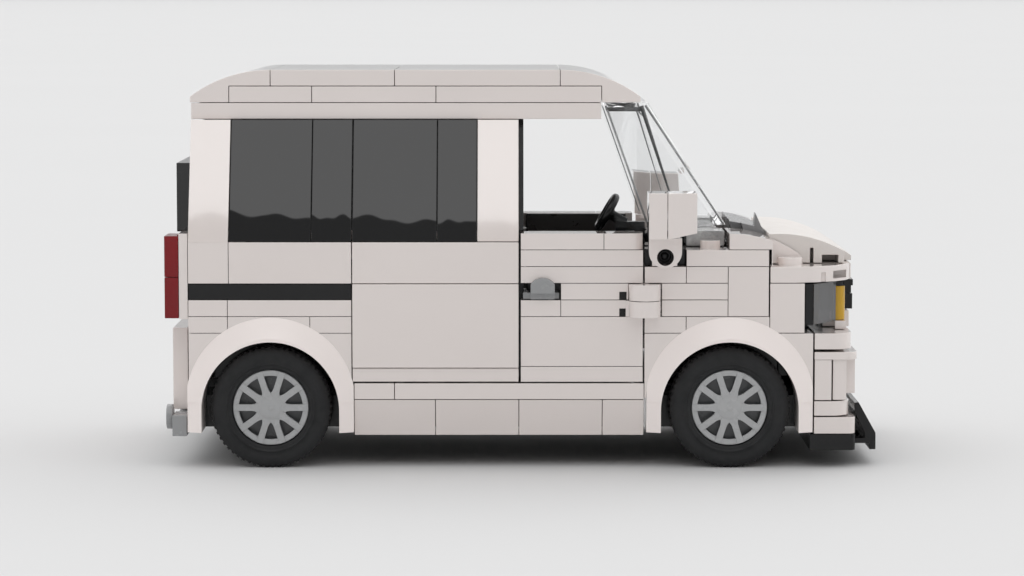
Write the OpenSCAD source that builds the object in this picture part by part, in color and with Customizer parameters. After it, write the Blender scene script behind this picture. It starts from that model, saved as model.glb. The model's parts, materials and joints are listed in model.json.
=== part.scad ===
// Brick-built toy kei van with a box body, sliding side doors and short nose.
// +X is the front of the van, +Z is up, the ground is z = 0 and the
// origin is under the middle of the overall length and width.

/* [Brick grid] */
// Pitch of the stud grid, one brick width
stud = 8; // [7.9:0.05:8.1]
// Height of one plate
plate = 3.2; // [3.15:0.01:3.25]
// Gap left between neighbouring bricks
gap = 0.12; // [0.1:0.02:0.24]

/* [Body] */
// Body length in studs
len_studs = 16; // [16:1:16]
// Half width of the body at the doors
half_w = 32; // [31:0.5:33]
// Half width of the roof
roof_half = 22.4; // [22:0.1:24]
// Lean of the side windows from upright, degrees
lean = 20; // [18:0.5:21]
// Height of the underside of the roof
roof_z = 66.55; // [66:0.05:68]
// Tail lights' reach behind the body
rear_over = 3.9; // [3.5:0.1:4.5]
// Splitter's reach ahead of the body
front_over = 4.95; // [4:0.05:5.5]

/* [Wheels] */
// Tyre outer diameter
tyre_d = 23.2; // [22.8:0.2:23.4]
// Tyre width
tyre_w = 7.6; // [7:0.2:8]
// Wheel cover diameter
cover_d = 14.5; // [14:0.1:15]
// Radius of the wheel pins on the axle plates
pin_r = 1.55; // [1.4:0.05:1.6]
// Radial clearance of the wheel on its pin
pin_fit = 0.06; // [0.04:0.01:0.09]
// Rear axle position in studs from the rear
rear_axle_n = 2.05; // [2:0.01:2.1]
// Front axle position in studs from the rear
front_axle_n = 13.05; // [13:0.01:13.1]

/* [Doors] */
// Radius of the door hinge barrels
barrel_r = 3.05; // [2.9:0.05:3.2]
// Hinge axis, distance outside the door face
hinge_out = 1; // [0.8:0.1:1.2]

/* [Hidden] */
$fn = 48;
total = len_studs * stud + rear_over + front_over;
xr = -total / 2 + rear_over;
function sx(n) = xr + n * stud;
function pz(k) = 0.4 + plate * k;
wheel_z = tyre_d / 2;
wheel_in = 24.7;
wheel_y = wheel_in + tyre_w / 2;
ax_r = sx(rear_axle_n);
ax_f = sx(front_axle_n);
belt = pz(14);
win_z = 43.5;
win_y = 31.6;
hinge_x = sx(11);
hinge_y = half_w + hinge_out;
gate_x = sx(0) + 2.54;
gate_z = 65.0;
arch_r = 16;
arch_zc = 12.75;
roof_w = 2 * roof_half / 3;

white = [0.92, 0.91, 0.90];
black = [0.06, 0.06, 0.06];
dark = [0.30, 0.31, 0.32];
grey = [0.62, 0.63, 0.64];

// The van is the same on both sides, the right side (-Y) drawn first
module both() { children(); mirror([0, 1, 0]) children(); }

// A brick between two stud positions, two widths and two heights, with the
// fitting gap taken off its ends, top and bottom
module blk(n1, n2, y1, y2, z1, z2, gy = 0) {
  translate([sx(n1) + gap / 2, y1 + gy, z1 + gap / 2])
    cube([(n2 - n1) * stud - gap, y2 - y1 - 2 * gy, z2 - z1 - gap]);
}

// A side wall brick, one stud thick, on the right side
module wall(n1, n2, z1, z2, t = 7.9, out = 0) {
  blk(n1, n2, -half_w - out, -half_w + t, z1, z2);
}

// A leaning panel on the side between the belt and the roof
module lean_panel(n1, n2, y_out = win_y, t = 3.2, z1 = win_z + gap / 2, z2 = roof_z - 0.05) {
  y1 = -y_out + (z1 - win_z) * tan(lean);
  y2 = -y_out + (z2 - win_z) * tan(lean);
  translate([sx(n1) + gap / 2, 0, 0]) rotate([90, 0, 90])
    linear_extrude((n2 - n1) * stud - gap)
      polygon([[y1, z1], [y2, z2], [y2 + t / cos(lean), z2], [y1 + t / cos(lean), z1]]);
}

module stud_at(x, y, z) { translate([x, y, z]) cylinder(r = 2.4, h = 1.7); }

// ---- chassis -------------------------------------------------------------
module under_plate(n1, n2, nn) {
  difference() {
    blk(n1, n2, -23.9, 23.9, pz(4), pz(5));
    translate([sx(n1) + 1.5, -22.5, pz(4) - 1])
      cube([(n2 - n1) * stud - 3, 45, 3.1]);
  }
  for (i = [1 : nn - 1], j = [-2 : 2])
    translate([sx(n1 + i), j * stud, pz(4) + gap / 2]) difference() {
      cylinder(r = 3.25, h = 2.2);
      translate([0, 0, -1]) cylinder(r = 2.4, h = 2.9);
    }
}
module base_plate() color(black) {
  blk(0.36, 4, -23.9, 23.9, pz(4), pz(5));
  under_plate(4, 11, 7);
  blk(11, 14.98, -23.9, 23.9, pz(4), pz(5));
  for (i = [0 : 2], j = [-2.5 : 1 : 2.5])
    stud_at(sx(4.5 + i), j * stud, pz(5) - gap / 2);
}

module axle_plate(x) {
  translate([x - 2 * stud + gap, -23.9, 6.9]) cube([4 * stud - 2 * gap, 47.8, pz(4) - gap - 6.9]);
  both() translate([x, -23.85, wheel_z]) rotate([90, 0, 0]) cylinder(r = pin_r, h = 5.3);
}
module front_axle_plate() color(black) axle_plate(ax_f);
module rear_axle_plate() color(black) axle_plate(ax_r);
// Bricks inside the body that close the wheel wells
module wheel_wells() color(black) both() {
  blk(0.62, 4, -23.9, -20, pz(5), pz(9) + 0.1);
  blk(11.15, 14.28, -23.9, -20, pz(5), pz(9) + 0.1);
}

module rocker(n1, n2) {
  translate([sx(n1) + gap / 2, 0, 0]) rotate([90, 0, 90])
    linear_extrude((n2 - n1) * stud - gap)
      polygon([[-half_w + 0.1, pz(4) - gap / 2], [-half_w + 1.3, 6.2],
        [-half_w + 3.4, 6.2], [-half_w + 3.4, 9.8], [-24.2, 9.8], [-24.2, pz(4) - gap / 2]]);
}
module rocker_panels() color(white) both() {
  rocker(4.05, 6); rocker(6, 8); rocker(8, 10); rocker(10, 11);
}
module sill_strips() color(white) both() {
  wall(4.05, 5.02, pz(4), pz(5), 8);
  wall(5.02, 11, pz(4), pz(5), 8);
}

// ---- wheel arches --------------------------------------------------------
module arch_hole(r, w) {
  translate([0, 0, arch_zc]) rotate([90, 0, 0]) cylinder(r = r, h = w, center = true);
  translate([-r, -w / 2, -1]) cube([2 * r, w, arch_zc + 1]);
}
module arch(x) {
  translate([x, -half_w + 3.4, 0]) difference() {
    intersection() {
      union() {
        translate([0, 0.47, 0]) arch_hole(arch_r - gap / 2, 7.86);
        // the outer lip covers the joint with the wall
        intersection() {
          translate([0, -3.43, arch_zc]) rotate([90, 0, 0]) cylinder(r1 = arch_r + gap / 2 + 0.18, r2 = 12.3, h = 1.52);
          translate([-arch_r + gap / 2, -6, arch_zc]) cube([2 * arch_r - gap, 4, 30]);
        }
        translate([0, 0, -1]) linear_extrude(arch_zc + 1)
          polygon([[-arch_r + gap / 2, -3.35], [-12.3, -4.95], [12.3, -4.95], [arch_r - gap / 2, -3.35]]);
      }
      translate([-20, -10, 6.9]) cube([40, 20, 30]);
    }
    difference() {
      union() {
        translate([0, 0, 11.2]) rotate([90, 0, 0]) cylinder(r = 13.2, h = 12, center = true);
        translate([-13.2, -6, -1]) cube([26.4, 12, 12.2]);
      }
    }
  }
}
module front_arches() color(white) both() arch(ax_f);
module rear_arches() color(white) both() arch(ax_r);

// Body side above and beside an arch, cut to the arch outline
module arch_fill(n1, n2, z1, z2, ax) {
  difference() {
    wall(n1, n2, z1, z2);
    translate([ax, -28, 0]) arch_hole(arch_r + gap / 2, 20);
  }
}

// ---- rear quarters -------------------------------------------------------
module rear_quarters() color(white) both() {
  wall(0.09, 1.06, pz(11) - 0.1, win_z);
  wall(1.06, 4, pz(11) - 0.1, win_z);
  wall(0.09, 1.03, pz(9), pz(10));
  wall(1.03, 4, pz(9), pz(10));
  arch_fill(0.09, 1.03, pz(8), pz(9), ax_r);
  arch_fill(1.03, 3, pz(8), pz(9), ax_r);
  arch_fill(3, 4, pz(8), pz(9), ax_r);
  arch_fill(0.09, 1.6, 14, pz(8), ax_r);
  arch_fill(2.5, 4, 14, pz(8), ax_r);
  lean_panel(0.09, 1.06, half_w, 3.2, win_z - gap / 2 - 0.05);
  // tail light carriers
  translate([sx(0) - 1, -half_w + 0.2, 28.7]) cube([1.65, 7.6, 16.4]);
}
module door_tracks() color(black) both() wall(0.09, 4, pz(10), pz(11) - 0.1, 7.9, -0.15);
module rear_quarter_windows() color(black) both() {
  lean_panel(1.06, 3.03);
  lean_panel(3.03, 4);
}

// ---- sliding doors -------------------------------------------------------
module sliding_doors() color(white) both() {
  wall(4.01, 8, pz(11) - 0.1, win_z, 7.9, 0.1);
  wall(4.01, 8, 19.3, pz(11) - 0.1, 7.9, 0.3);
  wall(4.01, 8, pz(5) + 0.2, 19.3, 7.9, 0);
  lean_panel(7.0, 8);
}
module sliding_door_windows() color(black) both() {
  lean_panel(4.01, 6.04);
  lean_panel(6.04, 7.0);
}
// Frames that the leaning panels are pressed on
module side_frames() color(black) both() {
  lean_panel(0.9, 8.12, win_y - 3.3 / cos(lean), 2.6, pz(14) + 0.2, roof_z - 0.1);
  // post behind the gap between the doors
  translate([sx(8) - 0.02, -25.8, pz(5) + 0.1]) cube([1, 5.8, pz(14) + 0.3 - pz(5)]);
}

// ---- front fenders -------------------------------------------------------
module front_fenders() color(white) both() {
    wall(12, 13.98, pz(12), pz(13));
    wall(11, 12, pz(11), pz(12));
    wall(12, 13, pz(11), pz(12));
    wall(11.41, 13, pz(10), pz(11));
    wall(11.41, 13, pz(9), pz(10));
    wall(13, 13.98, pz(9), pz(12));
    arch_fill(11, 12, pz(8), pz(9), ax_f);
    arch_fill(12, 14, pz(8), pz(9), ax_f);
    arch_fill(11, 12.6, 13.4, pz(8), ax_f);
    arch_fill(13.5, 15.05, 13.4, pz(8), ax_f);
    // disc on the fender top beside the screen
    translate([sx(12.6), -half_w + 5, pz(13) - 0.1]) cylinder(r = 1.95, h = 1.6);
}

// ---- roof ----------------------------------------------------------------
module roof_plates() color(white) {
  blk(0.08, 10, -roof_half, roof_half, roof_z, roof_z + plate);
  for (s = [[1, 3], [3, 6], [6, 10]])
    blk(s[0], s[1], -roof_half, roof_half, roof_z + plate, roof_z + 2 * plate);
}
module roof_tiles() color(white)
  for (s = [[2, 5], [5, 9]], j = [-1.5, -0.5, 0.5])
    blk(s[0], s[1], j * roof_w, (j + 1) * roof_w, roof_z + 2 * plate, roof_z + 3 * plate, gap / 2);

// Curved slope: a rounded shoulder, low at local x = 0
module slope_2d(l, h_low, h) {
  r = (l * l + (h - h_low) * (h - h_low)) / (2 * (h - h_low));
  intersection() {
    square([l, h]);
    translate([l, h - r]) circle(r = r, $fn = 180);
  }
}
module roof_slope() rotate([90, 0, 0]) linear_extrude(roof_w - gap) difference() {
  slope_2d(1.95 * stud - gap, 1.1, 2 * plate - gap);
  translate([0.95 * stud - gap, -1]) square([stud + 1, plate + 1]);
}
module roof_slopes() color(white) for (j = [-1.5, -0.5, 0.5])
  translate([0, (j + 1) * roof_w - gap / 2, roof_z + plate + gap / 2]) {
    translate([sx(0.05) + gap / 2, 0, 0]) roof_slope();
    translate([sx(10.95) - gap / 2, 0, 0]) mirror([1, 0, 0]) roof_slope();
  }

// ---- windscreen and cowl -------------------------------------------------
module screen_ring(d, z, xa, xb, xc, yb, yc)
  translate([0, 0, z]) linear_extrude(0.02)
    polygon([[sx(xa) - d * 3, -yb + d], [sx(xb) - d * 0.4, -yb + d], [sx(xc) - d * 1.2, -yc + d * 0.4],
      [sx(xc) - d * 1.2, yc - d * 0.4], [sx(xb) - d * 0.4, yb - d], [sx(xa) - d * 3, yb - d]]);
module screen_body(d) hull() {
  screen_ring(d, roof_z + plate - 0.16 - d, 10.05, 10.98, 11.13, 22.2, 20.2);
  screen_ring(d, belt - 0.1, 11.1, 11.93, 13.1, 23.9, 16.5);
}
module windscreen() color([0.85, 0.9, 0.92, 0.5]) difference() {
  screen_body(0);
  screen_body(1.4);
  translate([sx(9), -22.5, belt - 2]) cube([60, 45, 2.5]);
}
module cowl_vents() color(dark) {
  // rounded cowl in front of the screen, with a slanted louvre at its right end
  translate([0, 15.9, 0]) rotate([90, 0, 0]) linear_extrude(27.8)
    polygon([[sx(13.22), 42.08], [sx(13.22), 46.1], [sx(13.5), 45.7], [sx(13.8), 44.9],
      [sx(14.03), 44.2], [sx(14.03), 42.08]]);
  translate([0, -12, 0]) rotate([90, 0, 0]) linear_extrude(3.9)
    polygon([[sx(13.56), 42.08], [sx(13.45), 46.0], [sx(13.76), 45.4], [sx(13.79), 48],
      [sx(14.03), 43.6], [sx(14.03), 42.08]]);
}
module dashboard() color(black) {
  both() blk(11, 12, -half_w + 3.3, -23.3, pz(12), pz(13));
  blk(11.6, 12.95, -23.5, 23.5, pz(11), pz(13));
  blk(11.8, 12.9, -15.8, 15.8, pz(13), pz(14) - 0.4);
  both() blk(11.2, 11.7, -20, -12, pz(12), pz(13));
  blk(10.35, 11.25, -19, -12, pz(12), pz(13));
}
module steering_wheel() color(black) {
  translate([sx(10.36), -17.2, pz(13)]) cube([0.72 * stud, 3.4, 4.3]);
  translate([sx(10.16), -15.5, 48.1]) rotate([0, 30, 0]) rotate([0, 90, 0]) {
    rotate_extrude() translate([3.3, 0]) circle(r = 0.8, $fn = 24);
    translate([0, 0, -0.5]) cylinder(r = 1.2, h = 1.6);
    for (a = [0, 120, 240]) rotate([0, 0, a + 60]) translate([0.6, -0.6, -0.35]) cube([2.6, 1.2, 0.7]);
    translate([0, 0, 0.8]) cylinder(r = 1.0, h = 3.4);
  }
}
module front_seats() color(dark) both() {
  blk(8.7, 10.2, -20, -4, pz(5), pz(8));
  blk(8.4, 9.0, -20, -4, pz(8), pz(12));
}

// ---- nose ----------------------------------------------------------------
// side outline of the bonnet, rounded down to the front
module bonnet_2d(n2) intersection() {
  translate([sx(14.06), pz(12) + gap / 2]) square([(n2 - 14.06) * stud, 8]);
  translate([sx(14.3), 44.5 - 25]) circle(r = 25, $fn = 240);
}
module bonnet() color(white) {
  translate([0, stud - gap / 2, 0]) rotate([90, 0, 0]) linear_extrude(2 * stud - gap) bonnet_2d(16.12);
  both() difference() {
    translate([0, -stud - gap / 2, 0]) rotate([90, 0, 0]) linear_extrude(2 * stud - gap) bonnet_2d(16.12);
    translate([sx(15.87), -24.5, 38]) cube([3, 7, 8]);
    translate([sx(15.04), -24.5, 38]) cube([0.7, 4.5, 3.75]);
    translate([sx(15.33), -24.5, 38]) cube([3.2, 6.5, 2.4]);
  }
}
// curved slope over the fender
module fender_2d(n2) intersection() {
  translate([sx(13.03), pz(12) + gap / 2]) square([(n2 - 13.03) * stud, 8]);
  translate([sx(13.1), 45.05 - 22.5]) circle(r = 22.5, $fn = 240);
}
module fender_slopes() color(white) both() difference() {
  union() {
    translate([0, -half_w + 7.9, 0]) rotate([90, 0, 0]) linear_extrude(7.9) fender_2d(14.8);
    translate([0, -16.1, 0]) rotate([90, 0, 0]) linear_extrude(8) fender_2d(14.03);
  }
  translate([sx(13), -half_w - 1, 38]) cube([1.04 * stud, 20, pz(13) + gap / 2 - 38]);
  // the front lip stands behind the stud
  translate([sx(14.06), -half_w - 1, 38]) cube([8, 7.5, 9]);
}
// plan outline of the nose corner, stepping in towards the front
module corner_2d(n0, inset = 0) polygon([[sx(n0), -23.5], [sx(n0), -half_w + inset],
  [sx(14.6), -half_w + inset], [sx(15.1), -half_w + 1 + inset], [sx(15.6), -half_w + 3.6 + inset],
  [sx(15.9), -half_w + 6.6 + inset], [sx(16), -half_w + 8.5 + inset], [sx(16), -23.5 + inset]]);
module nose_panels() color(white) {
  both() {
    // brow slab over the lamp
    difference() {
      translate([0, 0, pz(11) + gap / 2]) linear_extrude(plate - gap) corner_2d(14.01);
      translate([sx(15.55), -half_w - 1, 36.2]) cube([2.75, 9.5, 1.45]);
      translate([57.4, -half_w - 1, 35]) cube([0.9, 3.6, 2.5]);
    }
    stud_at(sx(14.52), -half_w + 4, pz(12) - gap / 2 - 0.1);
    // block behind the lamp
    arch_fill(14, 14.84, pz(8), pz(11), ax_f);
    // small block at the lamp's inner foot
    translate([sx(15.65), -24.6, 26.06]) cube([2.2, 4, 1.6]);
  }
  // bar under the bonnet edge and sill under the grille
  blk(14.9, 16.05, -22.9, 22.9, pz(11), pz(12));
  blk(15.4, 16.06, -19.4, 19.4, pz(8), pz(9));
}
module front_frame() color(black) {
  blk(14.3, 15.02, -22, 22, pz(5) + gap, pz(11));
  blk(15.02, 15.4, -19, 19, pz(9), pz(11));
  both() translate([sx(14.84) + 0.1, -half_w + 0.25, 27.6]) cube([1.45, 7.5, 7.8]);
}
module headlights() color([0.4, 0.4, 0.4]) both() intersection() {
  translate([sx(15.05), -half_w + 0.3, 27.6]) rotate([0, 0, 57]) cube([9.2, 2.4, 7.8]);
  translate([sx(15.05), -half_w, 27]) cube([9, 20, 9]);
}
module indicators() color([0.85, 0.65, 0.1]) both()
  translate([sx(15.69), -21.7, 27.7]) cylinder(r = 1.85, h = 6.6);
module grille() color(black) {
  blk(15.5, 16.16, -17.8, 17.8, pz(9) + 0.1, pz(10));
  blk(15.5, 16.13, -17.8, 17.8, pz(10), pz(11) - 0.05);
  both() {
    translate([sx(15.69), -21.7, 34.35]) cylinder(r = 1.85, h = 1.2);
    translate([sx(15.69), -22.6, 34.35]) cube([3.3, 4.9, 1.2]);
  }
}
// plan of a bumper plate with rounded front corners
module bumper_2d(n0, n1, r) intersection() {
  union() {
    translate([sx(n0), -half_w + 0.1]) square([(n1 - n0) * stud - r, 2 * half_w - 0.2]);
    translate([sx(n0), -half_w + r + 0.1]) square([(n1 - n0) * stud, 2 * (half_w - r - 0.1)]);
    for (y = [-1, 1]) translate([sx(n1) - r, y * (half_w - r - 0.1)]) circle(r = r, $fn = 64);
  }
  translate([sx(n0), -half_w]) square([20, 2 * half_w]);
}
module front_bumper() color(white) {
  translate([0, 0, pz(7) + gap / 2]) linear_extrude(plate - gap) bumper_2d(15.08, 16, 4);
  translate([0, 0, 20.85]) linear_extrude(1.5) bumper_2d(15.08, 16.12, 2.2);
  both() {
    blk(15.08, 15.50, -half_w + 0.2, -half_w + 12, 13, 20.95);
    blk(15.52, 15.86, -half_w + 0.6, -half_w + 12, 13, 20.95);
    blk(15.84, 16.1, -half_w + 3.2, -half_w + 12, 14, 20.95);
  }
  blk(15.3, 15.95, -half_w + 11.8, half_w - 11.8, 13, 20.95);
  translate([0, 0, 10 + gap / 2]) linear_extrude(2.8) bumper_2d(15.08, 15.95, 3.9);
  translate([0, 0, 6.6]) linear_extrude(3.2) bumper_2d(15.08, 16.08, 1.5);
}
module splitter() color(black) {
  translate([0, 0, 3.4]) linear_extrude(3.1) bumper_2d(14.98, 16.08, 1);
  translate([0, 27.8, 0]) rotate([90, 0, 0]) linear_extrude(55.6)
    polygon([[sx(16.09), 4.2], [sx(16.09), 5.2], [sx(16.35), 5.2], [sx(16.35), 6.2], [sx(16.1), 10.6],
      [sx(16.1), 12], [sx(16.2), 12.2], [total / 2, 6.2], [total / 2, 3], [total / 2 - 1.2, 3],
      [total / 2 - 1.2, 4.2]]);
}

// ---- rear end ------------------------------------------------------------
module tail_lights() color([0.55, 0.05, 0.08]) both() for (i = [0, 1])
  translate([-total / 2 + 0.1, -half_w + 0.5, 28.8 + 7.95 * i]) cube([2.7, 7.2, 7.85]);
module rear_bumper() color(grey) {
  both() {
    translate([sx(0) - 2.6, -half_w + 1, 6]) cube([2.8, 6.8, 4]);
    translate([sx(0) - 2.7, -half_w + 4.4, 9.4]) rotate([0, -90, 0]) cylinder(r = 2.4, h = 1.2);
  }
  translate([sx(0) - 2.0, -half_w + 8, 6]) cube([2.2, 2 * half_w - 16, 4]);
}
module tailgate_panel() color(white) {
  translate([sx(0) - 3.1, -23.7, 10.3]) cube([2.9, 47.4, 15.9]);
  translate([sx(0) - 0.1, -23.7, 13.6]) cube([2.2, 47.4, 31.2]);
  translate([gate_x - 1.5, -19.4, 59.2]) cube([3, 38.8, gate_z - 59.2]);
  translate([gate_x, 19.4, gate_z]) rotate([90, 0, 0]) cylinder(r = 1.5, h = 38.8);
  translate([sx(0) + 0.9, -21.5, 44.9]) cube([2.4, 43, 14.2]);
}
module tailgate_window() color(black)
  translate([sx(0) - 2.1, -23.7, 44.9]) cube([2.9, 47.4, 13.3]);

// ---- mirrors and hinges --------------------------------------------------
module mirror_arms() color(white) both() difference() {
  union() {
    translate([sx(11.48), -half_w - 0.1, 41.85]) rotate([90, 0, 0]) intersection() {
      cylinder(r = 3.15, h = 3.1);
      translate([-4, pz(12) - 41.85, -1]) cube([8, 44.4 - pz(12), 6]);
    }
    translate([sx(11.48) - 3.15, -half_w - 3.2, 41.85]) cube([6.3, 3.1, 2.55]);
    translate([sx(11.48) - 2.4, -half_w - 0.15, pz(12) + gap]) cube([4.8, 3.3, 5]);
  }
  translate([sx(11.48), -half_w + 3.2, 40.8]) rotate([90, 0, 0]) cylinder(r = 1.6, h = 10);
}
module mirror_shells() color(white) both() {
  translate([sx(11.06), -half_w - 8.2, 44.55]) cube([3.45, 8, 8.75]);
  translate([sx(11.51), -half_w - 0.2, 44.55]) rotate([90, 0, 0]) linear_extrude(8)
    polygon([[0, 0], [0, 8.75], [5.5, 8.75], [5.5, 1.2]]);
}
module hinge_bases() color(white) both() difference() {
  union() {
    translate([hinge_x, -hinge_y, pz(10) + gap / 2]) cylinder(r = barrel_r, h = plate - gap);
    translate([hinge_x, -hinge_y, pz(10) + gap / 2]) cube([3.05, 8.9, plate - gap]);
    translate([hinge_x + 0.1, -half_w, pz(9) + gap / 2]) cube([2.95, 7.9, plate]);
  }
  translate([hinge_x, -hinge_y, pz(9) - 0.3]) cylinder(r = barrel_r + 0.25, h = plate + 0.3);
  translate([hinge_x, -hinge_y, 0]) cylinder(r = 0.9, h = 60);
}

// ---- front doors ---------------------------------------------------------
module door_panel() color(white) {
  intersection() {
    difference() {
      union() {
        wall(8.04, 10.97, pz(12), pz(13), 6);
        wall(8.04, 10.97, pz(11), pz(12), 6);
        wall(9, 10.97, pz(10), pz(11), 6);
        wall(8.04, 9, pz(9), pz(10), 6);
        wall(9, 10.97, pz(9), pz(10), 6);
        wall(8.04, 10.97, pz(6), pz(9), 6);
        wall(8.04, 10.97, pz(5) + 0.2, pz(6), 6);
        wall(8.04, 10.03, pz(13), pz(14), 6);
      }
      // room for the fixed barrel and the moving one
      translate([hinge_x, -hinge_y, pz(9) - 0.05]) cylinder(r = barrel_r + 0.25, h = 2 * plate + 0.1);
      // slots of the hinge plates
      for (k = [9, 10]) translate([sx(10.4), -half_w - 1, pz(k) + gap / 2]) cube([1.4, 5.6, 1.5]);
    }
    // the rear edge clears the sliding door as it swings
    translate([hinge_x, -hinge_y, 0]) cylinder(r = 3 * stud - 0.05, h = 80, $fn = 120);
  }
  translate([0, 0, pz(13) + gap / 2]) linear_extrude(plate - gap) difference() {
    translate([sx(10.03) + gap / 2, -half_w]) square([0.93 * stud, 6]);
    translate([sx(10.03) + gap / 2 + 0.93 * stud - 1.9, -half_w - 1.1]) difference() {
      square([3, 3]);
      translate([0, 3]) circle(r = 1.9);
    }
  }
}
module door_barrel() color(white) {
  translate([hinge_x, -hinge_y, pz(9) + gap / 2]) cylinder(r = barrel_r, h = plate - gap);
  translate([hinge_x, -hinge_y, pz(9) + gap]) cylinder(r = 0.8, h = 2 * plate - 2 * gap);
  translate([hinge_x - 3.6, -hinge_y + 0.2, pz(9) + gap / 2]) cube([3.6, 3, plate - gap]);
}
module door_handle() color(grey) {
  translate([sx(8.1), -half_w + 0.8, pz(10) + gap]) cube([0.86 * stud, 5, 1.2]);
  translate([sx(8.28), -half_w - 0.2, pz(10) + gap]) cube([4.6, 5.7, plate - 2 * gap]);
  intersection() {
    translate([sx(8.28) + 2.3, -half_w - 0.1, 33.95]) rotate([90, 0, 0]) cylinder(r = 2.75, h = 1.6);
    translate([sx(8.28), -half_w - 3, 33.8]) cube([4.6, 6, 4]);
  }
}
module door_lining() color(dark)
  blk(8.2, 10.8, -half_w + 6.1, -half_w + 7.6, pz(7), pz(14) - 0.05);
module right_door_panel() { door_panel(); door_barrel(); }
module right_door_handle() door_handle();
module right_door_lining() door_lining();
module left_door_panel() mirror([0, 1, 0]) { door_panel(); door_barrel(); }
module left_door_handle() mirror([0, 1, 0]) door_handle();
module left_door_lining() mirror([0, 1, 0]) door_lining();

// ---- wheels --------------------------------------------------------------
// drawn with the outer face towards -Y at local y = -tyre_w / 2
module wheel_place(x, side) translate([x, side * wheel_y, wheel_z])
  mirror([0, side > 0 ? 1 : 0, 0]) rotate([90, 0, 0]) children();
module tyre() color([0.16, 0.16, 0.16]) rotate_extrude($fn = 96) polygon([
  [8.5, -tyre_w / 2 + 0.6], [10.2, -tyre_w / 2], [11.1, -tyre_w / 2 + 0.5], [tyre_d / 2, -tyre_w / 2 + 1.6],
  [tyre_d / 2, tyre_w / 2 - 1.6], [11.1, tyre_w / 2 - 0.5], [10.2, tyre_w / 2], [cover_d / 2 + 0.15, tyre_w / 2 - 0.4],
  [cover_d / 2 + 0.15, tyre_w / 2 - 1.5], [8.5, tyre_w / 2 - 2]]);
module rim() color(dark) difference() {
  rotate_extrude($fn = 96) polygon([[0, -1.8], [6.6, -1.8], [6.6, -tyre_w / 2 + 0.8], [8.4, -tyre_w / 2 + 0.8],
    [8.4, tyre_w / 2 - 2.1], [7.2, tyre_w / 2 - 1.9], [6.8, tyre_w / 2 - 1.9], [6.8, 0.6], [0, 0.6]]);
  translate([0, 0, -4]) cylinder(r = pin_r + pin_fit, h = 8);
}
module cover() color(grey) {
  translate([0, 0, 0.8]) cylinder(r = 3.05, h = tyre_w / 2 - 1.2);
  translate([0, 0, tyre_w / 2 - 1.7]) {
    difference() {
      cylinder(r = cover_d / 2, h = 1.1, $fn = 96);
      translate([0, 0, -1]) cylinder(r = cover_d / 2 - 1.1, h = 4, $fn = 96);
    }
    for (i = [0 : 9]) rotate([0, 0, 36 * i]) translate([2.8, -0.75, 0]) cube([3.6, 1.5, 0.95]);
  }
}
module front_right_tyre() wheel_place(ax_f, -1) tyre();
module front_right_rim() wheel_place(ax_f, -1) rim();
module front_right_cover() wheel_place(ax_f, -1) cover();
module front_left_tyre() wheel_place(ax_f, 1) tyre();
module front_left_rim() wheel_place(ax_f, 1) rim();
module front_left_cover() wheel_place(ax_f, 1) cover();
module rear_right_tyre() wheel_place(ax_r, -1) tyre();
module rear_right_rim() wheel_place(ax_r, -1) rim();
module rear_right_cover() wheel_place(ax_r, -1) cover();
module rear_left_tyre() wheel_place(ax_r, 1) tyre();
module rear_left_rim() wheel_place(ax_r, 1) rim();
module rear_left_cover() wheel_place(ax_r, 1) cover();

base_plate();
front_axle_plate();
rear_axle_plate();
wheel_wells();
rocker_panels();
sill_strips();
front_arches();
rear_arches();
rear_quarters();
door_tracks();
rear_quarter_windows();
sliding_doors();
sliding_door_windows();
side_frames();
front_fenders();
roof_plates();
roof_tiles();
roof_slopes();
windscreen();
dashboard();
steering_wheel();
front_seats();
bonnet();
fender_slopes();
cowl_vents();
nose_panels();
front_frame();
headlights();
indicators();
grille();
front_bumper();
splitter();
tail_lights();
rear_bumper();
mirror_arms();
mirror_shells();
hinge_bases();
right_door_panel();
right_door_handle();
right_door_lining();
left_door_panel();
left_door_handle();
left_door_lining();
tailgate_panel();
tailgate_window();
front_right_tyre();
front_right_rim();
front_right_cover();
front_left_tyre();
front_left_rim();
front_left_cover();
rear_right_tyre();
rear_right_rim();
rear_right_cover();
rear_left_tyre();
rear_left_rim();
rear_left_cover();
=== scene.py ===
import json
import math

import bmesh
import bpy
from mathutils import Matrix, Vector


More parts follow.
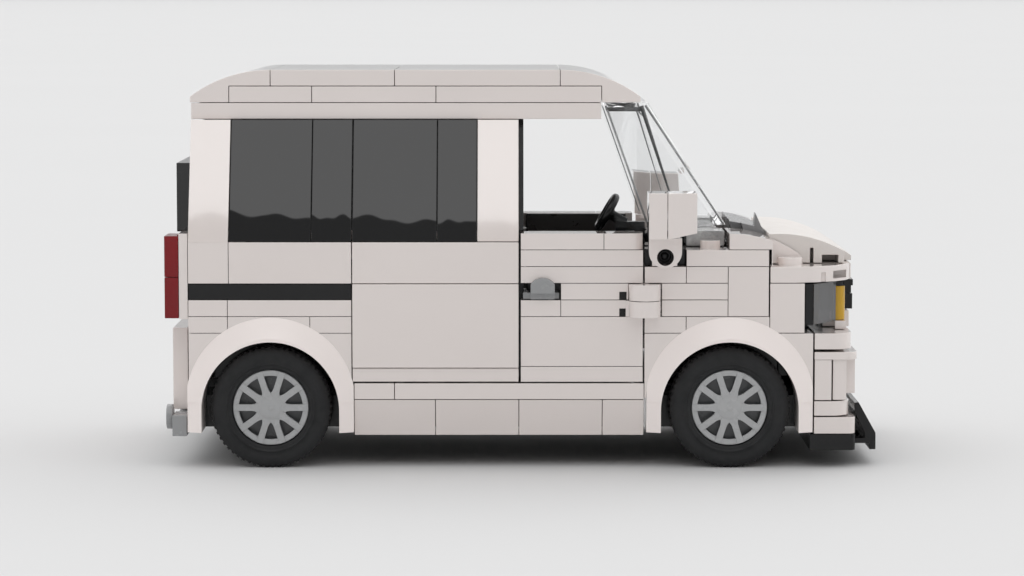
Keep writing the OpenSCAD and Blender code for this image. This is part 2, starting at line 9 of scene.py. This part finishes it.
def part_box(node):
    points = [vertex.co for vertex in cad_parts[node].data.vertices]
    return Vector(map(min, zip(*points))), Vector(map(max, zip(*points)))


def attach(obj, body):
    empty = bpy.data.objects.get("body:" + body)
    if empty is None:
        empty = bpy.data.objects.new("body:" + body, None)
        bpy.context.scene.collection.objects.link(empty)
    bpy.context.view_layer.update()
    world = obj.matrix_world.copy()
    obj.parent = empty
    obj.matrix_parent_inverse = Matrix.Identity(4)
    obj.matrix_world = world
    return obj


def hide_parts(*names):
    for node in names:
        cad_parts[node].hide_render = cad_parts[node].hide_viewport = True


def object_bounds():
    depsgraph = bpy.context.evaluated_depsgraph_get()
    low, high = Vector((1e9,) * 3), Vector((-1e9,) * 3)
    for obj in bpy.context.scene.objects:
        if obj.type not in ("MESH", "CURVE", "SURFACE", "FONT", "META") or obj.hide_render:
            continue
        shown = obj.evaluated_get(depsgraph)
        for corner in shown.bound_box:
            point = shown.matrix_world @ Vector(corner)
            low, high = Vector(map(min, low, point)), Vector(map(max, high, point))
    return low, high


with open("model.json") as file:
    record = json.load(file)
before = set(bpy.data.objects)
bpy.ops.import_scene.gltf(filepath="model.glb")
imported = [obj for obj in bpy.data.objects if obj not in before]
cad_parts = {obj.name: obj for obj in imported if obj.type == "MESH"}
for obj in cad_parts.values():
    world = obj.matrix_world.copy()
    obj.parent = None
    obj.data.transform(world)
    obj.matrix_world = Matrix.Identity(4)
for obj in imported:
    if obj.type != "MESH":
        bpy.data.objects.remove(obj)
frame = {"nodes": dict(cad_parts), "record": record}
cad_lo, cad_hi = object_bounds()
nodes = frame["nodes"]
scene = bpy.context.scene
MM = 0.001

# ---------------------------------------------------------------- camera
centre = (cad_lo + cad_hi) / 2
cam_data = bpy.data.cameras.new("camera")
cam_data.sensor_width = 36
cam_data.lens = 114.15
cam_data.clip_start, cam_data.clip_end = 0.05, 200
camera = bpy.data.objects.new("camera", cam_data)
camera.location = (centre.x - 0.00184, -0.650, 0.09115)
camera.rotation_euler = (math.pi / 2 - 0.0911, 0, 0)
scene.collection.objects.link(camera)
scene.camera = camera

scene.view_settings.view_transform = "Standard"
scene.view_settings.look = "None"


# ---------------------------------------------------------------- materials
def ramp_pair(tree, fac, a, b):
    """A colour between a and b by fac."""
    mix = tree.nodes.new("ShaderNodeMix")
    mix.data_type = "RGBA"
    tree.links.new(fac, mix.inputs["Factor"])
    mix.inputs["A"].default_value = (*a, 1)
    mix.inputs["B"].default_value = (*b, 1)
    return mix.outputs["Result"]


def noise(tree, vector, scale, detail=2.0, rough=0.5):
    n = tree.nodes.new("ShaderNodeTexNoise")
    n.inputs["Scale"].default_value = scale
    n.inputs["Detail"].default_value = detail
    n.inputs["Roughness"].default_value = rough
    tree.links.new(vector, n.inputs["Vector"])
    return n.outputs["Fac"]


def spread(tree, fac, lo, hi):
    m = tree.nodes.new("ShaderNodeMapRange")
    m.inputs["From Min"].default_value = 0.3
    m.inputs["From Max"].default_value = 0.7
    m.inputs["To Min"].default_value = lo
    m.inputs["To Max"].default_value = hi
    tree.links.new(fac, m.inputs["Value"])
    return m.outputs["Result"]


def plastic(name, base, rough, vary=0.03, peel=0.02, peel_scale=1500, specular=0.5, ior=1.5,
            transmission=0.0, flow=None, grain=None, alpha=1.0, coat=0.0, coat_ior=1.5):
    """Moulded plastic: slow colour drift, uneven gloss and a faint orange peel."""
    m = bpy.data.materials.new(name)
    m.use_nodes = True
    t = m.node_tree
    p = t.nodes["Principled BSDF"]
    pos = t.nodes.new("ShaderNodeTexCoord").outputs["Object"]
    slow = noise(t, pos, 55, 3)
    light = tuple(min(1.0, c * (1 + vary)) for c in base)
    deep = tuple(c * (1 - vary) for c in base)
    colour = ramp_pair(t, spread(t, slow, 0, 1), deep, light)
    if flow:
        f = noise(t, pos, flow[0], 4, 0.6)
        mix = t.nodes.new("ShaderNodeMix")
        mix.data_type = "RGBA"
        mix.blend_type = "MULTIPLY"
        mix.inputs["Factor"].default_value = flow[1]
        t.links.new(colour, mix.inputs["A"])
        t.links.new(f, mix.inputs["B"])
        colour = mix.outputs["Result"]
    t.links.new(colour, p.inputs["Base Color"])
    t.links.new(spread(t, noise(t, pos, 420, 3), rough * 0.8, rough * 1.2), p.inputs["Roughness"])
    bump = t.nodes.new("ShaderNodeBump")
    bump.inputs["Strength"].default_value = peel
    bump.inputs["Distance"].default_value = 0.0002
    t.links.new(noise(t, pos, peel_scale, 2), bump.inputs["Height"])
    normal = bump.outputs["Normal"]
    if grain:
        g = t.nodes.new("ShaderNodeBump")
        g.inputs["Strength"].default_value = grain[1]
        g.inputs["Distance"].default_value = 0.0002
        t.links.new(noise(t, pos, grain[0], 5, 0.7), g.inputs["Height"])
        t.links.new(normal, g.inputs["Normal"])
        normal = g.outputs["Normal"]
    t.links.new(normal, p.inputs["Normal"])
    p.inputs["IOR"].default_value = ior
    p.inputs["Specular IOR Level"].default_value = specular
    p.inputs["Transmission Weight"].default_value = transmission
    p.inputs["Coat Weight"].default_value = coat
    p.inputs["Coat Roughness"].default_value = 0.02
    p.inputs["Coat IOR"].default_value = coat_ior
    p.inputs["Alpha"].default_value = alpha
    return m


WHITE = (0.800, 0.727, 0.696)
MATS = {
    "white_plastic": plastic("white_plastic", WHITE, 0.04, vary=0.010, peel=0.006, specular=0.85, coat=1.0, coat_ior=1.75),
    "black_plastic": plastic("black_plastic", (0.0075, 0.0075, 0.008), 0.22, vary=0.15, specular=0.35),
    "dark_grey_plastic": plastic("dark_grey_plastic", (0.150, 0.154, 0.160), 0.25, vary=0.05),
    "grey_plastic": plastic("grey_plastic", (0.33, 0.335, 0.34), 0.25, vary=0.04, flow=(900, 0.06)),
    "clear_plastic": plastic("clear_plastic", (0.985, 0.99, 0.992), 0.010, vary=0.003, peel=0.0, ior=1.03, transmission=1.0, coat=1.0),
    "smoke_plastic": plastic("smoke_plastic", (0.30, 0.30, 0.31), 0.06, vary=0.06, peel=0.01, transmission=0.75),
    "amber_plastic": plastic("amber_plastic", (0.72, 0.42, 0.016), 0.10, vary=0.06, peel=0.01, transmission=0.25),
    "red_plastic": plastic("red_plastic", (0.27, 0.004, 0.008), 0.08, vary=0.10, peel=0.01, specular=0.3, transmission=0.30),
    "tyre_rubber": plastic("tyre_rubber", (0.017, 0.0175, 0.0185), 0.62, vary=0.10, peel=0.05, specular=0.35,
                           grain=(6000, 0.12)),
}
window_black = plastic("window_black", (0.0055, 0.0055, 0.006), 0.008, vary=0.12, peel=0.0, specular=0.62)
dial_grey = plastic("cover_grey", (0.455, 0.46, 0.465), 0.26, vary=0.05, flow=(1200, 0.10), grain=(3500, 0.05))
lining_brown = plastic("lining_brown", (0.030, 0.026, 0.024), 0.30, vary=0.10)
cowl_grey = plastic("cowl_grey", (0.22, 0.222, 0.226), 0.24, vary=0.05)
# near-black material for pieces that stand in for the shadow inside slots and gaps: painted shade
painted_shade_black = plastic("painted_shade_black", (0.004, 0.004, 0.004), 0.5, vary=0.2)
reflector = plastic("lamp_reflector", (0.55, 0.55, 0.56), 0.18, vary=0.05)

slot_of = {}
for part in frame["record"]["subparts"]:
    for n in [part.get("node"), part.get("name"), part.get("id")] + list(part.get("nodes") or []):
        if n in nodes:
            slot_of[n] = part["material_slot"]


def paint(o, m):
    o.data.materials.clear()
    o.data.materials.append(m)


# a brighter copy of the white plastic for the wheel arches: a real satin finish, plus painted highlight for the light
# their upturned faces catch from the ceiling
white_satin_painted_highlight = plastic("white_satin_painted_highlight", (0.975, 0.895, 0.865), 0.22, vary=0.004, peel=0.004, specular=0.7)
white_bonnet = plastic("white_bonnet", (0.725, 0.685, 0.655), 0.38, vary=0.008, peel=0.006, specular=0.25)
OWN = {"bonnet": white_bonnet, "front_arches": white_satin_painted_highlight, "rear_arches": white_satin_painted_highlight, "cowl_vents": cowl_grey, "right_door_lining": lining_brown, "left_door_lining": lining_brown}
GLASSY = {"rear_quarter_windows", "sliding_door_windows", "tailgate_window"}
for name, o in nodes.items():
    paint(o, window_black if name in GLASSY else OWN.get(name) or MATS[slot_of[name]])

# ---------------------------------------------------------------- brick edges
PLAIN = {"steering_wheel", "base_plate", "windscreen"}
for name, o in nodes.items():
    if name.endswith(("_tyre", "_cover", "_arches")):
        continue
    weld = o.modifiers.new("weld", "WELD")
    weld.merge_threshold = 2e-6
    if name not in PLAIN:
        flat = o.modifiers.new("planar", "DECIMATE")
        flat.decimate_type = "DISSOLVE"
        flat.angle_limit = math.radians(0.4)
        bev = o.modifiers.new("edge", "BEVEL")
        bev.width = 0.11 * MM
        bev.segments = 2
        bev.limit_method = "ANGLE"
        bev.angle_limit = math.radians(28)
        bev.use_clamp_overlap = True
        bev.harden_normals = False
        bev.miter_outer = "MITER_ARC"
    wn = o.modifiers.new("normals", "WEIGHTED_NORMAL")
    wn.mode = "FACE_AREA"
    wn.weight = 80
    wn.keep_sharp = False


# ---------------------------------------------------------------- mesh helpers
def mesh_piece(name, bm, mat, body, stands_for=()):
    me = bpy.data.meshes.new(name)
    bmesh.ops.recalc_face_normals(bm, faces=bm.faces)
    bm.to_mesh(me)
    bm.free()
    for p in me.polygons:
        p.use_smooth = True
    o = bpy.data.objects.new(name, me)
    scene.collection.objects.link(o)
    o.data.materials.append(mat)
    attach(o, body)
    if stands_for:
        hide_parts(*stands_for)
    return o


def bevelled(o, width, segments=2, angle=28):
    b = o.modifiers.new("edge", "BEVEL")
    b.width = width * MM
    b.segments = segments
    b.limit_method = "ANGLE"
    b.angle_limit = math.radians(angle)
    b.miter_outer = "MITER_ARC"
    w = o.modifiers.new("normals", "WEIGHTED_NORMAL")
    w.mode = "FACE_AREA"
    w.weight = 80
    return o


# ---------------------------------------------------------------- tyres
def tyre(name, node, body, side):
    """A tyre with shoulder blocks, a bead and a ridge on the side wall, round the node's own centre."""
    lo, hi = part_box(node)
    c = (lo + hi) / 2
    r_out = (hi.x - lo.x) / 2
    half = (hi.y - lo.y) / 2
    lugs = 60
    bm = bmesh.new()
    # profile from the outer bead over the tread to the inner bead: (radius, distance outwards from the middle, kind)
    prof = [
        (7.42, half / MM - 1.55, 0), (7.42, half / MM - 0.62, 0), (7.55, half / MM - 0.42, 0), (7.95, half / MM - 0.34, 0),
        (8.18, half / MM - 0.30, 0), (8.28, half / MM - 0.10, 0), (8.42, half / MM - 0.02, 0), (8.58, half / MM - 0.10, 0),
        (8.70, half / MM - 0.22, 0), (9.4, half / MM - 0.05, 0), (10.1, half / MM - 0.03, 0), (10.55, half / MM - 0.14, 0),
        (10.85, half / MM - 0.34, 0),
        (10.98, half / MM - 0.42, 1), (11.35, half / MM - 0.62, 1), (11.6, half / MM - 1.05, 1), (11.6, half / MM - 2.35, 1),
        (11.2, half / MM - 2.5, 0), (11.2, half / MM - 2.9, 0), (11.55, half / MM - 3.0, 0),
        (11.55, -(half / MM - 3.0), 0), (11.2, -(half / MM - 2.9), 0), (11.2, -(half / MM - 2.5), 0),
        (11.6, -(half / MM - 2.35), 2), (11.6, -(half / MM - 1.05), 2), (11.35, -(half / MM - 0.62), 2),
        (10.98, -(half / MM - 0.42), 2),
        (10.85, -(half / MM - 0.34), 0), (10.4, -(half / MM - 0.05), 0), (9.2, -(half / MM - 0.05), 0),
        (8.5, -(half / MM - 0.6), 0), (8.5, half / MM - 2.1, 0),
    ]
    scale = r_out / MM / 11.6
    rings = []
    for i in range(lugs):
        for frac, up in ((0.0, 0), (0.10, 1), (0.50, 1), (0.60, 0)):
            a = 2 * math.pi * (i + frac) / lugs
            ring = []
            for r, y, kind in prof:
                rr = r
                if kind:
                    on = up if kind == 1 else 1 - up
                    if not on:
                        rr = min(r, 10.98 + 0.62 * (r - 10.98))
                rr *= scale * MM
                ring.append(bm.verts.new((c.x + rr * math.cos(a), c.y + side * y * MM, c.z + rr * math.sin(a))))
            rings.append(ring)
    n = len(prof)
    for k in range(len(rings)):
        a, b = rings[k], rings[(k + 1) % len(rings)]
        for j in range(n):
            bm.faces.new((a[j], a[(j + 1) % n], b[(j + 1) % n], b[j]))
    o = mesh_piece(name, bm, MATS["tyre_rubber"], body, (node,))
    w = o.modifiers.new("normals", "WEIGHTED_NORMAL")
    w.mode = "FACE_AREA"
    w.weight = 60
    return o


# ---------------------------------------------------------------- wheel covers
def cover(name, node, body, side):
    """A spoked wheel cover: ring with a step, ten spokes with flared feet and a shallow domed hub."""
    lo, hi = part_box(node)
    c = (lo + hi) / 2
    face = hi.y if side > 0 else lo.y
    bm = bmesh.new()

    def at(r, a, depth):
        return (c.x + r * MM * math.cos(a), face - side * depth * MM, c.z + r * MM * math.sin(a))

    def revolve(prof, seg=120, close=False):
        rings = [[bm.verts.new(at(r, 2 * math.pi * k / seg, d)) for r, d in prof] for k in range(seg)]
        for k in range(seg):
            a, b = rings[k], rings[(k + 1) % seg]
            m = len(prof) if close else len(prof) - 1
            for j in range(m):
                jj = (j + 1) % len(prof)
                bm.faces.new((a[j], a[jj], b[jj], b[j]))
        return rings

    # outer ring, with a lip
    revolve([(7.22, 1.1), (7.22, 0.42), (7.14, 0.30), (7.0, 0.28), (6.2, 0.36), (6.12, 0.44), (6.12, 1.1)], close=True)
    # hub: shallow dome with a pip in the middle
    seg = 96
    prof = [(2.62, 2.4), (2.62, 0.36), (2.54, 0.24), (2.3, 0.14), (1.6, 0.07), (0.9, 0.04), (0.42, 0.035), (0.34, 0.0), (0.16, 0.0)]
    rings = revolve(prof, seg)
    tip = bm.verts.new(at(0, 0, 0.0))
    foot = bm.verts.new(at(0, 0, 2.4))
    for k in range(seg):
        bm.faces.new((rings[k][-1], rings[(k + 1) % seg][-1], tip))
        bm.faces.new((rings[k][0], foot, rings[(k + 1) % seg][0]))
    # spokes, wider at the hub, running over the ring
    for i in range(10):
        a0 = math.radians(36 * i)
        outline = [(1.7, 0.50), (2.5, 0.92), (2.8, 0.86), (3.15, 0.70), (3.7, 0.62), (5.2, 0.62), (6.6, 0.64), (7.16, 0.64)]
        top, low = [], []
        for sgn in (1, -1):
            pts = outline if sgn > 0 else outline[::-1]
            for r, w in pts:
                x, y = r, sgn * w
                ang, rad = a0 + math.atan2(y, x), math.hypot(x, y)
                rad = min(rad, 7.19)
                top.append(bm.verts.new(at(rad, ang, 0.16)))
                low.append(bm.verts.new(at(rad, ang, 1.05)))
        bm.faces.new(top)
        bm.faces.new(low[::-1])
        m = len(top)
        for j in range(m):
            bm.faces.new((top[j], low[j], low[(j + 1) % m], top[(j + 1) % m]))
    return bevelled(mesh_piece(name, bm, dial_grey, body, (node,)), 0.07, 2, 35)


for corner in ("front_right", "front_left", "rear_right", "rear_left"):
    side = -1 if "right" in corner else 1
    tyre(corner + "_treaded_tyre", corner + "_tyre", corner + "_wheel", side)
    cover(corner + "_spoked_cover", corner + "_cover", corner + "_wheel", side)


# ---------------------------------------------------------------- small dark parts
def block(name, lo, hi, mat, body, width=0.06):
    bm = bmesh.new()
    c = [(a + b) / 2 for a, b in zip(lo, hi)]
    bmesh.ops.create_cube(bm, size=1.0, matrix=Matrix.Translation([v * MM for v in c])
                          @ Matrix.Diagonal([(b - a) * MM for a, b in zip(lo, hi)] + [1]))
    return bevelled(mesh_piece(name, bm, mat, body), width, 1, 40)


def turned(name, prof, centre_mm, outward, mat, body, seg=48, scallop=0.0, teeth=6):
    """A part turned about the Y axis; prof holds (radius, distance outwards) pairs from rim to middle."""
    bm = bmesh.new()
    rings = []
    for k in range(seg):
        a = 2 * math.pi * k / seg
        rings.append([bm.verts.new(((centre_mm[0] + r * (1 - scallop * (0.5 + 0.5 * math.cos(teeth * a)) * (i == 0)) * math.cos(a)) * MM,
                                    (centre_mm[1] + outward * d) * MM,
                                    (centre_mm[2] + r * (1 - scallop * (0.5 + 0.5 * math.cos(teeth * a)) * (i == 0)) * math.sin(a)) * MM))
                      for i, (r, d) in enumerate(prof)])
    for k in range(seg):
        a, b = rings[k], rings[(k + 1) % seg]
        for j in range(len(prof) - 1):
            bm.faces.new((a[j], a[j + 1], b[j + 1], b[j]))
    bm.faces.new([r[-1] for r in rings])
    bm.faces.new([r[0] for r in rings][::-1])
    return mesh_piece(name, bm, mat, body)


arm_lo, arm_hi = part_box("mirror_arms")
arm_x = (arm_lo.x + arm_hi.x) / 2 / MM
for label, sgn in (("right", -1), ("left", 1)):
    # dark pin end inside the bore of the mirror arm
    turned(label + "_mirror_pin", [(1.59, 0.0), (1.59, 1.9), (1.22, 1.95), (1.18, 1.35), (0.62, 1.30), (0.58, 1.75), (0.3, 1.8)],
           (arm_x, sgn * 30.4, 40.8), sgn, MATS["black_plastic"], "body")

# black blocks at the back of the hinge slots in the door panels: painted shade standing in for the shadow inside the
# slots
hinge_lo, hinge_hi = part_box("hinge_bases")
slot_x = hinge_lo.x / MM - 1.77
for label, sgn in (("right", -1), ("left", 1)):
    for k, z in ((1, 29.28), (2, 32.48)):
        ys = sorted((sgn * 31.75, sgn * 27.6))
        block("%s_hinge_slot_%d" % (label, k), (slot_x + 0.02, ys[0], z), (slot_x + 1.38, ys[1], z + 1.46),
              painted_shade_black, label + "_door", 0.03)

# thin black sheets behind the joints between the rocker bricks: painted shade standing in for the shadow seen through
# the gaps
rocker_lo, rocker_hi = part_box("rocker_panels")
for label, sgn in (("right", -1), ("left", 1)):
    ys = sorted((sgn * 23.85, sgn * 23.55))
    block(label + "_rocker_joint_shade", (rocker_lo.x / MM + 0.5, ys[0], 6.9), (rocker_hi.x / MM - 0.5, ys[1], 13.2),
          painted_shade_black, "body", 0.03)

# painted shade and reflection: grey and dark strips along the edges of the clear screen, where the plastic looks darker
# from light bent and reflected inside it
edge_painted_shade = plastic("screen_edge_shade", (0.42, 0.425, 0.43), 0.12, vary=0.08, peel=0.0, specular=0.4, transmission=0.35)
edge_painted_shade_dark = plastic("screen_edge_dark_shade", (0.085, 0.088, 0.09), 0.12, vary=0.08, peel=0.0, specular=0.4, transmission=0.25)


def rod(name, p0, p1, r0, r1, mat, flat=1.0):
    """A thin round strip between two points, in millimetres."""
    a, b = Vector(p0) * MM, Vector(p1) * MM
    axis = (b - a).normalized()
    u = axis.cross(Vector((0, 1, 0))).normalized()
    v = axis.cross(u).normalized()
    seg = 12
    bm = bmesh.new()
    ends = []
    for c, r in ((a, r0), (a.lerp(b, 0.5), (r0 + r1) / 2), (b, r1)):
        ends.append([bm.verts.new(c + (u * math.cos(2 * math.pi * k / seg) * r
                                       + v * math.sin(2 * math.pi * k / seg) * r * flat) * MM) for k in range(seg)])
    for lo_ring, hi_ring in zip(ends, ends[1:]):
        for k in range(seg):
            bm.faces.new((lo_ring[k], lo_ring[(k + 1) % seg], hi_ring[(k + 1) % seg], hi_ring[k]))
    bm.faces.new(ends[0])
    bm.faces.new(ends[-1][::-1])
    return mesh_piece(name, bm, mat, "body")


screen_lo, screen_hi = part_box("windscreen")
foot_clear = plastic("screen_foot", (0.86, 0.865, 0.865), 0.06, vary=0.10, peel=1.0, peel_scale=800, specular=0.6,
                     transmission=0.30, flow=(700, 0.75))
for label, sgn in (("right", -1), ("left", 1)):
    ys = sorted((sgn * 23.5, sgn * 16.1))
    block(label + "_screen_foot", (screen_lo.x / MM + 16.0, ys[0], 42.06), (screen_lo.x / MM + 23.4, ys[1], screen_lo.z / MM - 0.03),
          foot_clear, "body", 0.15)
sx0 = screen_lo.x / MM            # rear top corner
top_z, low_z = screen_hi.z / MM, screen_lo.z / MM + 0.6
stud = 8.0
for label, sgn in (("right", -1), ("left", 1)):
    rear_top, rear_low = (sx0 + 0.45, sgn * 21.9, top_z - 0.5), (sx0 + 1.05 * stud + 0.35, sgn * 23.5, low_z)
    mid_top, mid_low = (sx0 + 0.93 * stud - 0.15, sgn * 21.8, top_z - 0.5), (sx0 + 1.88 * stud - 0.1, sgn * 23.45, low_z)
    fore_top, fore_low = (sx0 + 1.08 * stud - 0.5, sgn * 19.9, top_z - 0.5), (sx0 + 3.05 * stud - 0.7, sgn * 16.3, low_z)
    # the near (right) side gets thicker strips and a darker corner strip than the far side: painted shade
    thin = 1.0 if sgn < 0 else 0.5
    rod(label + "_screen_rear_edge_shade", rear_top, rear_low, 0.20 * thin, 0.20 * thin, edge_painted_shade)
    rod(label + "_screen_corner_edge_shade", mid_top, mid_low, 0.42 * thin, 0.10 * thin, edge_painted_shade_dark if sgn < 0 else edge_painted_shade)
    rod(label + "_screen_front_edge_shade", fore_top, fore_low, 0.24 * thin, 0.20 * thin, edge_painted_shade)
    rod(label + "_screen_top_edge_shade", (rear_top[0] + 0.1, rear_top[1], top_z - 1.15), (mid_top[0], mid_top[1], top_z - 1.15),
        0.42, 0.42, edge_painted_shade_dark, 0.6)

# ---------------------------------------------------------------- stage
def studio():
    """A round pale floor that curves up into a low wall far away."""
    bm = bmesh.new()
    prof = [(0, 0), (0.3, 0), (0.8, 0), (2.5, 0), (8, 0), (20, 0), (36, 0)]
    prof += [(36 + 3 * math.sin(math.radians(a)), 3 - 3 * math.cos(math.radians(a))) for a in range(6, 91, 6)]
    prof += [(39, 5)]
    seg = 96
    rings = []
    middle = bm.verts.new((0, 0, 0))
    for r, z in prof[1:]:
        rings.append([bm.verts.new((r * math.cos(2 * math.pi * k / seg), r * math.sin(2 * math.pi * k / seg), z)) for k in range(seg)])
    for k in range(seg):
        bm.faces.new((middle, rings[0][k], rings[0][(k + 1) % seg]))
        for a, b in zip(rings, rings[1:]):
            bm.faces.new((a[k], b[k], b[(k + 1) % seg], a[(k + 1) % seg]))
    me = bpy.data.meshes.new("floor")
    bm.to_mesh(me)
    bm.free()
    for p in me.polygons:
        p.use_smooth = True
    o = bpy.data.objects.new("floor", me)
    scene.collection.objects.link(o)
    m = bpy.data.materials.new("floor")
    m.use_nodes = True
    t = m.node_tree
    p = t.nodes["Principled BSDF"]
    pos = t.nodes.new("ShaderNodeTexCoord").outputs["Object"]
    t.links.new(ramp_pair(t, spread(t, noise(t, pos, 3, 3), 0, 1), (0.661, 0.661, 0.663), (0.667, 0.667, 0.669)), p.inputs["Base Color"])
    p.inputs["Roughness"].default_value = 0.9
    p.inputs["Specular IOR Level"].default_value = 0.1
    o.data.materials.append(m)
    return o


floor = studio()


# ---------------------------------------------------------------- light
def world_light():
    """Soft overhead light: a bright ceiling above 36 degrees, dimmer walls below, with a softly uneven edge between."""
    w = bpy.data.worlds.new("studio_light")
    scene.world = w
    w.use_nodes = True
    t = w.node_tree
    bg = t.nodes["Background"]
    d = t.nodes.new("ShaderNodeTexCoord").outputs["Generated"]
    sep = t.nodes.new("ShaderNodeSeparateXYZ")
    t.links.new(d, sep.inputs[0])

    def math_node(op, a, b=None, c=None):
        m = t.nodes.new("ShaderNodeMath")
        m.operation = op
        for i, v in enumerate((a, b, c)):
            if v is None:
                continue
            if isinstance(v, (int, float)):
                m.inputs[i].default_value = v
            else:
                t.links.new(v, m.inputs[i])
        return m.outputs[0]

    x, y, z = sep.outputs
    comb = t.nodes.new("ShaderNodeCombineXYZ")
    t.links.new(x, comb.inputs[0])
    wave = noise(t, comb.outputs[0], 52, 1.0)
    edge = math_node("ADD", 0.5856, math_node("MULTIPLY", math_node("SUBTRACT", wave, 0.5), 0.0074))

    def step(v, lo, hi):
        m = t.nodes.new("ShaderNodeMapRange")
        m.interpolation_type = "SMOOTHSTEP"
        for key, val in (("Value", v), ("From Min", lo), ("From Max", hi)):
            if isinstance(val, (int, float)):
                m.inputs[key].default_value = val
            else:
                t.links.new(val, m.inputs[key])
        return m.outputs["Result"]

    above = step(z, edge, math_node("ADD", edge, 0.0005))
    beside = step(math_node("ABSOLUTE", y), 0.60, 0.74)
    soft = step(z, 0.45, 0.80)
    # plain studio: soft walls, brighter ceiling, more light from the left side than from the right
    tilt = math_node("ADD", 1.0, math_node("MULTIPLY", y, 0.42))
    general = math_node("MULTIPLY", tilt, math_node("ADD", 1.10, math_node("MULTIPLY", soft, 0.22)))
    # a soft box along each long side, the right one narrow
    left = step(y, -0.2, 0.2)
    high = step(z, 0.66, 0.76)
    narrow = math_node("SUBTRACT", 1.0, math_node("MAXIMUM", math_node("MULTIPLY", left, 0.60), math_node("MULTIPLY", high, 0.62)))
    low_level = math_node("ADD", 0.33, math_node("MULTIPLY", left, 0.80))
    box_light = math_node("ADD", low_level, math_node("MULTIPLY", math_node("MULTIPLY", above, narrow), 1.56))
    level = math_node("ADD", math_node("MULTIPLY", beside, box_light),
                      math_node("MULTIPLY", math_node("SUBTRACT", 1.0, beside), general))
    colour = t.nodes.new("ShaderNodeCombineColor")
    for i in range(3):
        t.links.new(level, colour.inputs[i])
    t.links.new(colour.outputs[0], bg.inputs["Color"])
    bg.inputs["Strength"].default_value = 1.0


world_light()
